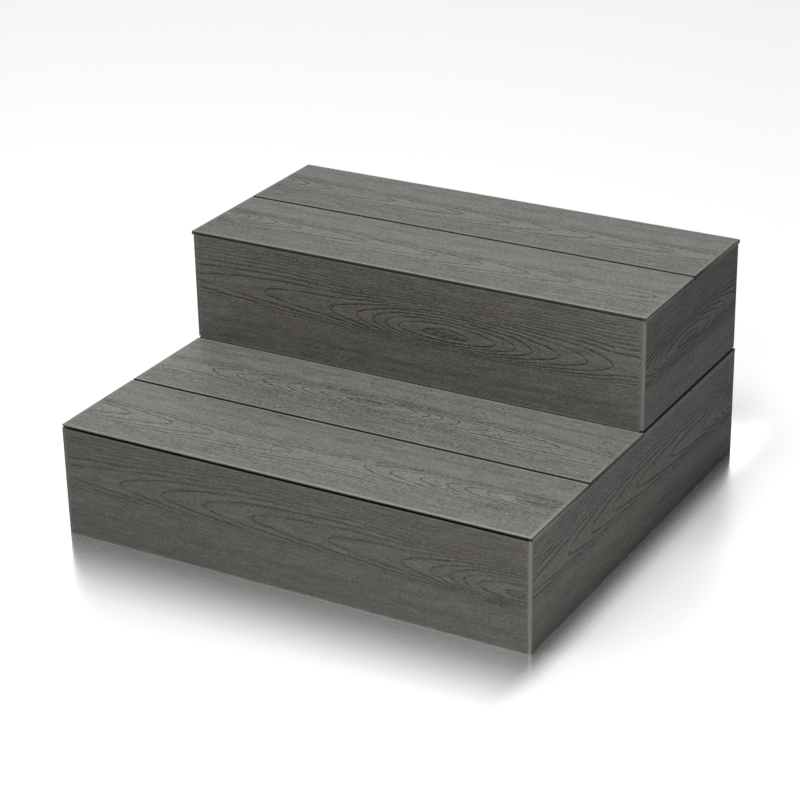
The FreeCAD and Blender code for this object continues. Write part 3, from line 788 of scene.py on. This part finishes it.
ZINC = galvanised()
STEEL = fine_finish(
    "satin_stainless", (0.56, 0.56, 0.55, 1), (0.70, 0.70, 0.69, 1),
    grain_size=0.5, roughness=0.32, bump=0.1, metallic=1.0,
)
BLACK = fine_finish(
    "black_coating", (0.016, 0.016, 0.017, 1), (0.028, 0.028, 0.029, 1),
    grain_size=0.8, roughness=0.5, bump=0.15, metallic=0.0,
)
RUBBER = fine_finish(
    "black_rubber", (0.020, 0.020, 0.020, 1), (0.036, 0.036, 0.035, 1),
    grain_size=1.4, roughness=0.75, bump=0.3, metallic=0.0,
)
plates = [f"{box}_{kind}_angles" for box in BOXES for kind in ("frame", "edge")]
screws = [f"{box}_{kind}_screws" for box in BOXES for kind in ("frame_angle", "edge_angle", "panel")]
paint(ZINC, *plates)
paint(STEEL, *screws, "coach_screws", "coach_screw_washers")
paint(BLACK, "tread_clips", "tread_clip_screws")
paint(RUBBER, "foot_pads", "module_spacers")

# %% [markdown]
# ## Studio: floor, light and camera
#
# The steps stand on a pale floor. It is glossy close to them and matt further out, so their mirror image
# fades away, and faster at the sides than at the front. A wide softbox above makes the treads the brightest
# faces. Two small ones lift the front and the right side, and the world adds a soft glow from behind, which
# keeps the background white, and from the front left. The camera is a long lens a few metres away, a
# little above the steps, so that the lines converge only gently.

# %% The floor
FLOOR_HALF = 14.0
FLOOR_WHITE = (0.96, 0.96, 0.96, 1)
FADE_FRONT = 0.18
SIDE_QUICKER = 3.2
GLOSS_NEAR, GLOSS_FAR = 0.90, 0.22
ROUGH_NEAR, ROUGH_FAR = 0.12, 0.34


def studio_floor():
    """A wide floor whose gloss fades with distance from the steps' footprint."""
    corners = [(x * FLOOR_HALF, y * FLOOR_HALF, 0.0) for x, y in ((-1, -1), (1, -1), (1, 1), (-1, 1))]
    mesh = bpy.data.meshes.new("studio_floor")
    mesh.from_pydata(corners, [], [(0, 1, 2, 3)])
    floor = bpy.data.objects.new("studio_floor", mesh)
    bpy.context.scene.collection.objects.link(floor)
    material, graph = new_material("pale_floor")
    vector_math = "ShaderNodeVectorMath"
    spot = graph.add("ShaderNodeTexCoord").outputs["Object"]
    either_side = graph.add(vector_math, {0: spot}, operation="ABSOLUTE").outputs[0]
    footprint = tuple(cad_box[1][:2]) + (0.0,)
    past = graph.add(vector_math, {0: either_side, 1: footprint}, operation="SUBTRACT").outputs[0]
    outside = graph.add(vector_math, {0: past, 1: (0.0, 0.0, 0.0)}, operation="MAXIMUM").outputs[0]
    quicker = (SIDE_QUICKER, 1.0, 0.0)
    scaled = graph.add(vector_math, {0: outside, 1: quicker}, operation="MULTIPLY").outputs[0]
    away = graph.add(vector_math, {0: scaled}, operation="LENGTH").outputs["Value"]
    gloss = graph.ramp(away, 0.0, FADE_FRONT, GLOSS_NEAR, GLOSS_FAR)
    roughness = graph.ramp(away, 0.0, FADE_FRONT, ROUGH_NEAR, ROUGH_FAR)
    finish_material(graph, FLOOR_WHITE, roughness, Metallic=gloss)
    mesh.materials.append(material)
    return floor


studio_floor()
print("floor", 2 * FLOOR_HALF, "m wide")

# %% The lights
# Direction, the cosines where a glow starts and where it is full, and its strength
WORLD_GLOWS = (
    ((-0.45, 0.79, 0.42), 0.75, 0.97, 1.55),
    ((-0.55, -0.80, 0.25), 0.2, 1.0, 0.42),
)


def softbox(name, aim, azimuth, elevation, distance, size, power):
    """A square area light that looks at aim. Azimuth turns from -Y towards +X, in degrees."""
    light = bpy.data.lights.new(name, "AREA")
    light.size = size
    light.energy = power
    lamp = bpy.data.objects.new(name, light)
    turn, lift = math.radians(azimuth), math.radians(elevation)
    away = Vector((math.sin(turn) * math.cos(lift), -math.cos(turn) * math.cos(lift), math.sin(lift)))
    lamp.location = Vector(aim) + away * distance
    lamp.rotation_euler = away.to_track_quat("Z", "Y").to_euler()
    bpy.context.scene.collection.objects.link(lamp)
    print(name, "at", tuple(round(v, 2) for v in lamp.location), power, "W")


def studio_world():
    """Light from behind, which the floor mirrors to the camera, and from the front left."""
    world = bpy.data.worlds.new("studio")
    world.use_nodes = True
    world.node_tree.nodes.clear()
    graph = Graph(world.node_tree)
    toward = graph.add("ShaderNodeTexCoord").outputs["Generated"]
    glow = 0.0
    for direction, edge, full, strength in WORLD_GLOWS:
        facing_it = graph.add("ShaderNodeVectorMath", {0: toward, 1: direction}, operation="DOT_PRODUCT")
        glow = graph.math("ADD", glow, graph.ramp(facing_it.outputs["Value"], edge, full, 0.0, strength))
    background = graph.add("ShaderNodeBackground", {"Color": (1.0, 1.0, 1.0, 1), "Strength": glow})
    graph.add("ShaderNodeOutputWorld", {"Surface": background.outputs[0]})
    bpy.context.scene.world = world
    print("world light from", len(WORLD_GLOWS), "directions")


softbox("top_softbox", (0, 0, 0.2), azimuth=-15, elevation=70, distance=6.0, size=3.9, power=295)
softbox("front_softbox", (0.30, -0.12, 0.20), azimuth=16, elevation=46, distance=1.5, size=0.6, power=12.0)
softbox("right_softbox", (0.4, -0.3, 0.1), azimuth=78, elevation=20, distance=1.0, size=0.4, power=2.2)
studio_world()
bpy.context.scene.view_settings.view_transform = "Standard"

# %% The camera
VIEW_AZIMUTH = math.radians(29.746)
VIEW_ELEVATION = math.radians(24.799)
VIEW_ROLL = math.radians(1.049)
VIEW_DISTANCE = 3.9317
VIEW_AIM = Vector((-0.0424, 0.0474, 0.1344))
LENS = 108.68


def studio_camera():
    """Sets up the camera, turned by the small roll about its own axis."""
    data = bpy.data.cameras.new("studio_camera")
    data.lens = LENS
    data.sensor_width = 36.0
    data.clip_end = 60.0
    camera = bpy.data.objects.new("studio_camera", data)
    a, e = VIEW_AZIMUTH, VIEW_ELEVATION
    back = Vector((math.sin(a) * math.cos(e), -math.cos(a) * math.cos(e), math.sin(e)))
    camera.location = VIEW_AIM + back * VIEW_DISTANCE
    level = back.to_track_quat("Z", "Y").to_matrix()
    camera.rotation_euler = (level @ Matrix.Rotation(-VIEW_ROLL, 3, "Z")).to_euler()
    bpy.context.scene.collection.objects.link(camera)
    bpy.context.scene.camera = camera
    print("camera at", tuple(round(v, 3) for v in camera.location))


studio_camera()
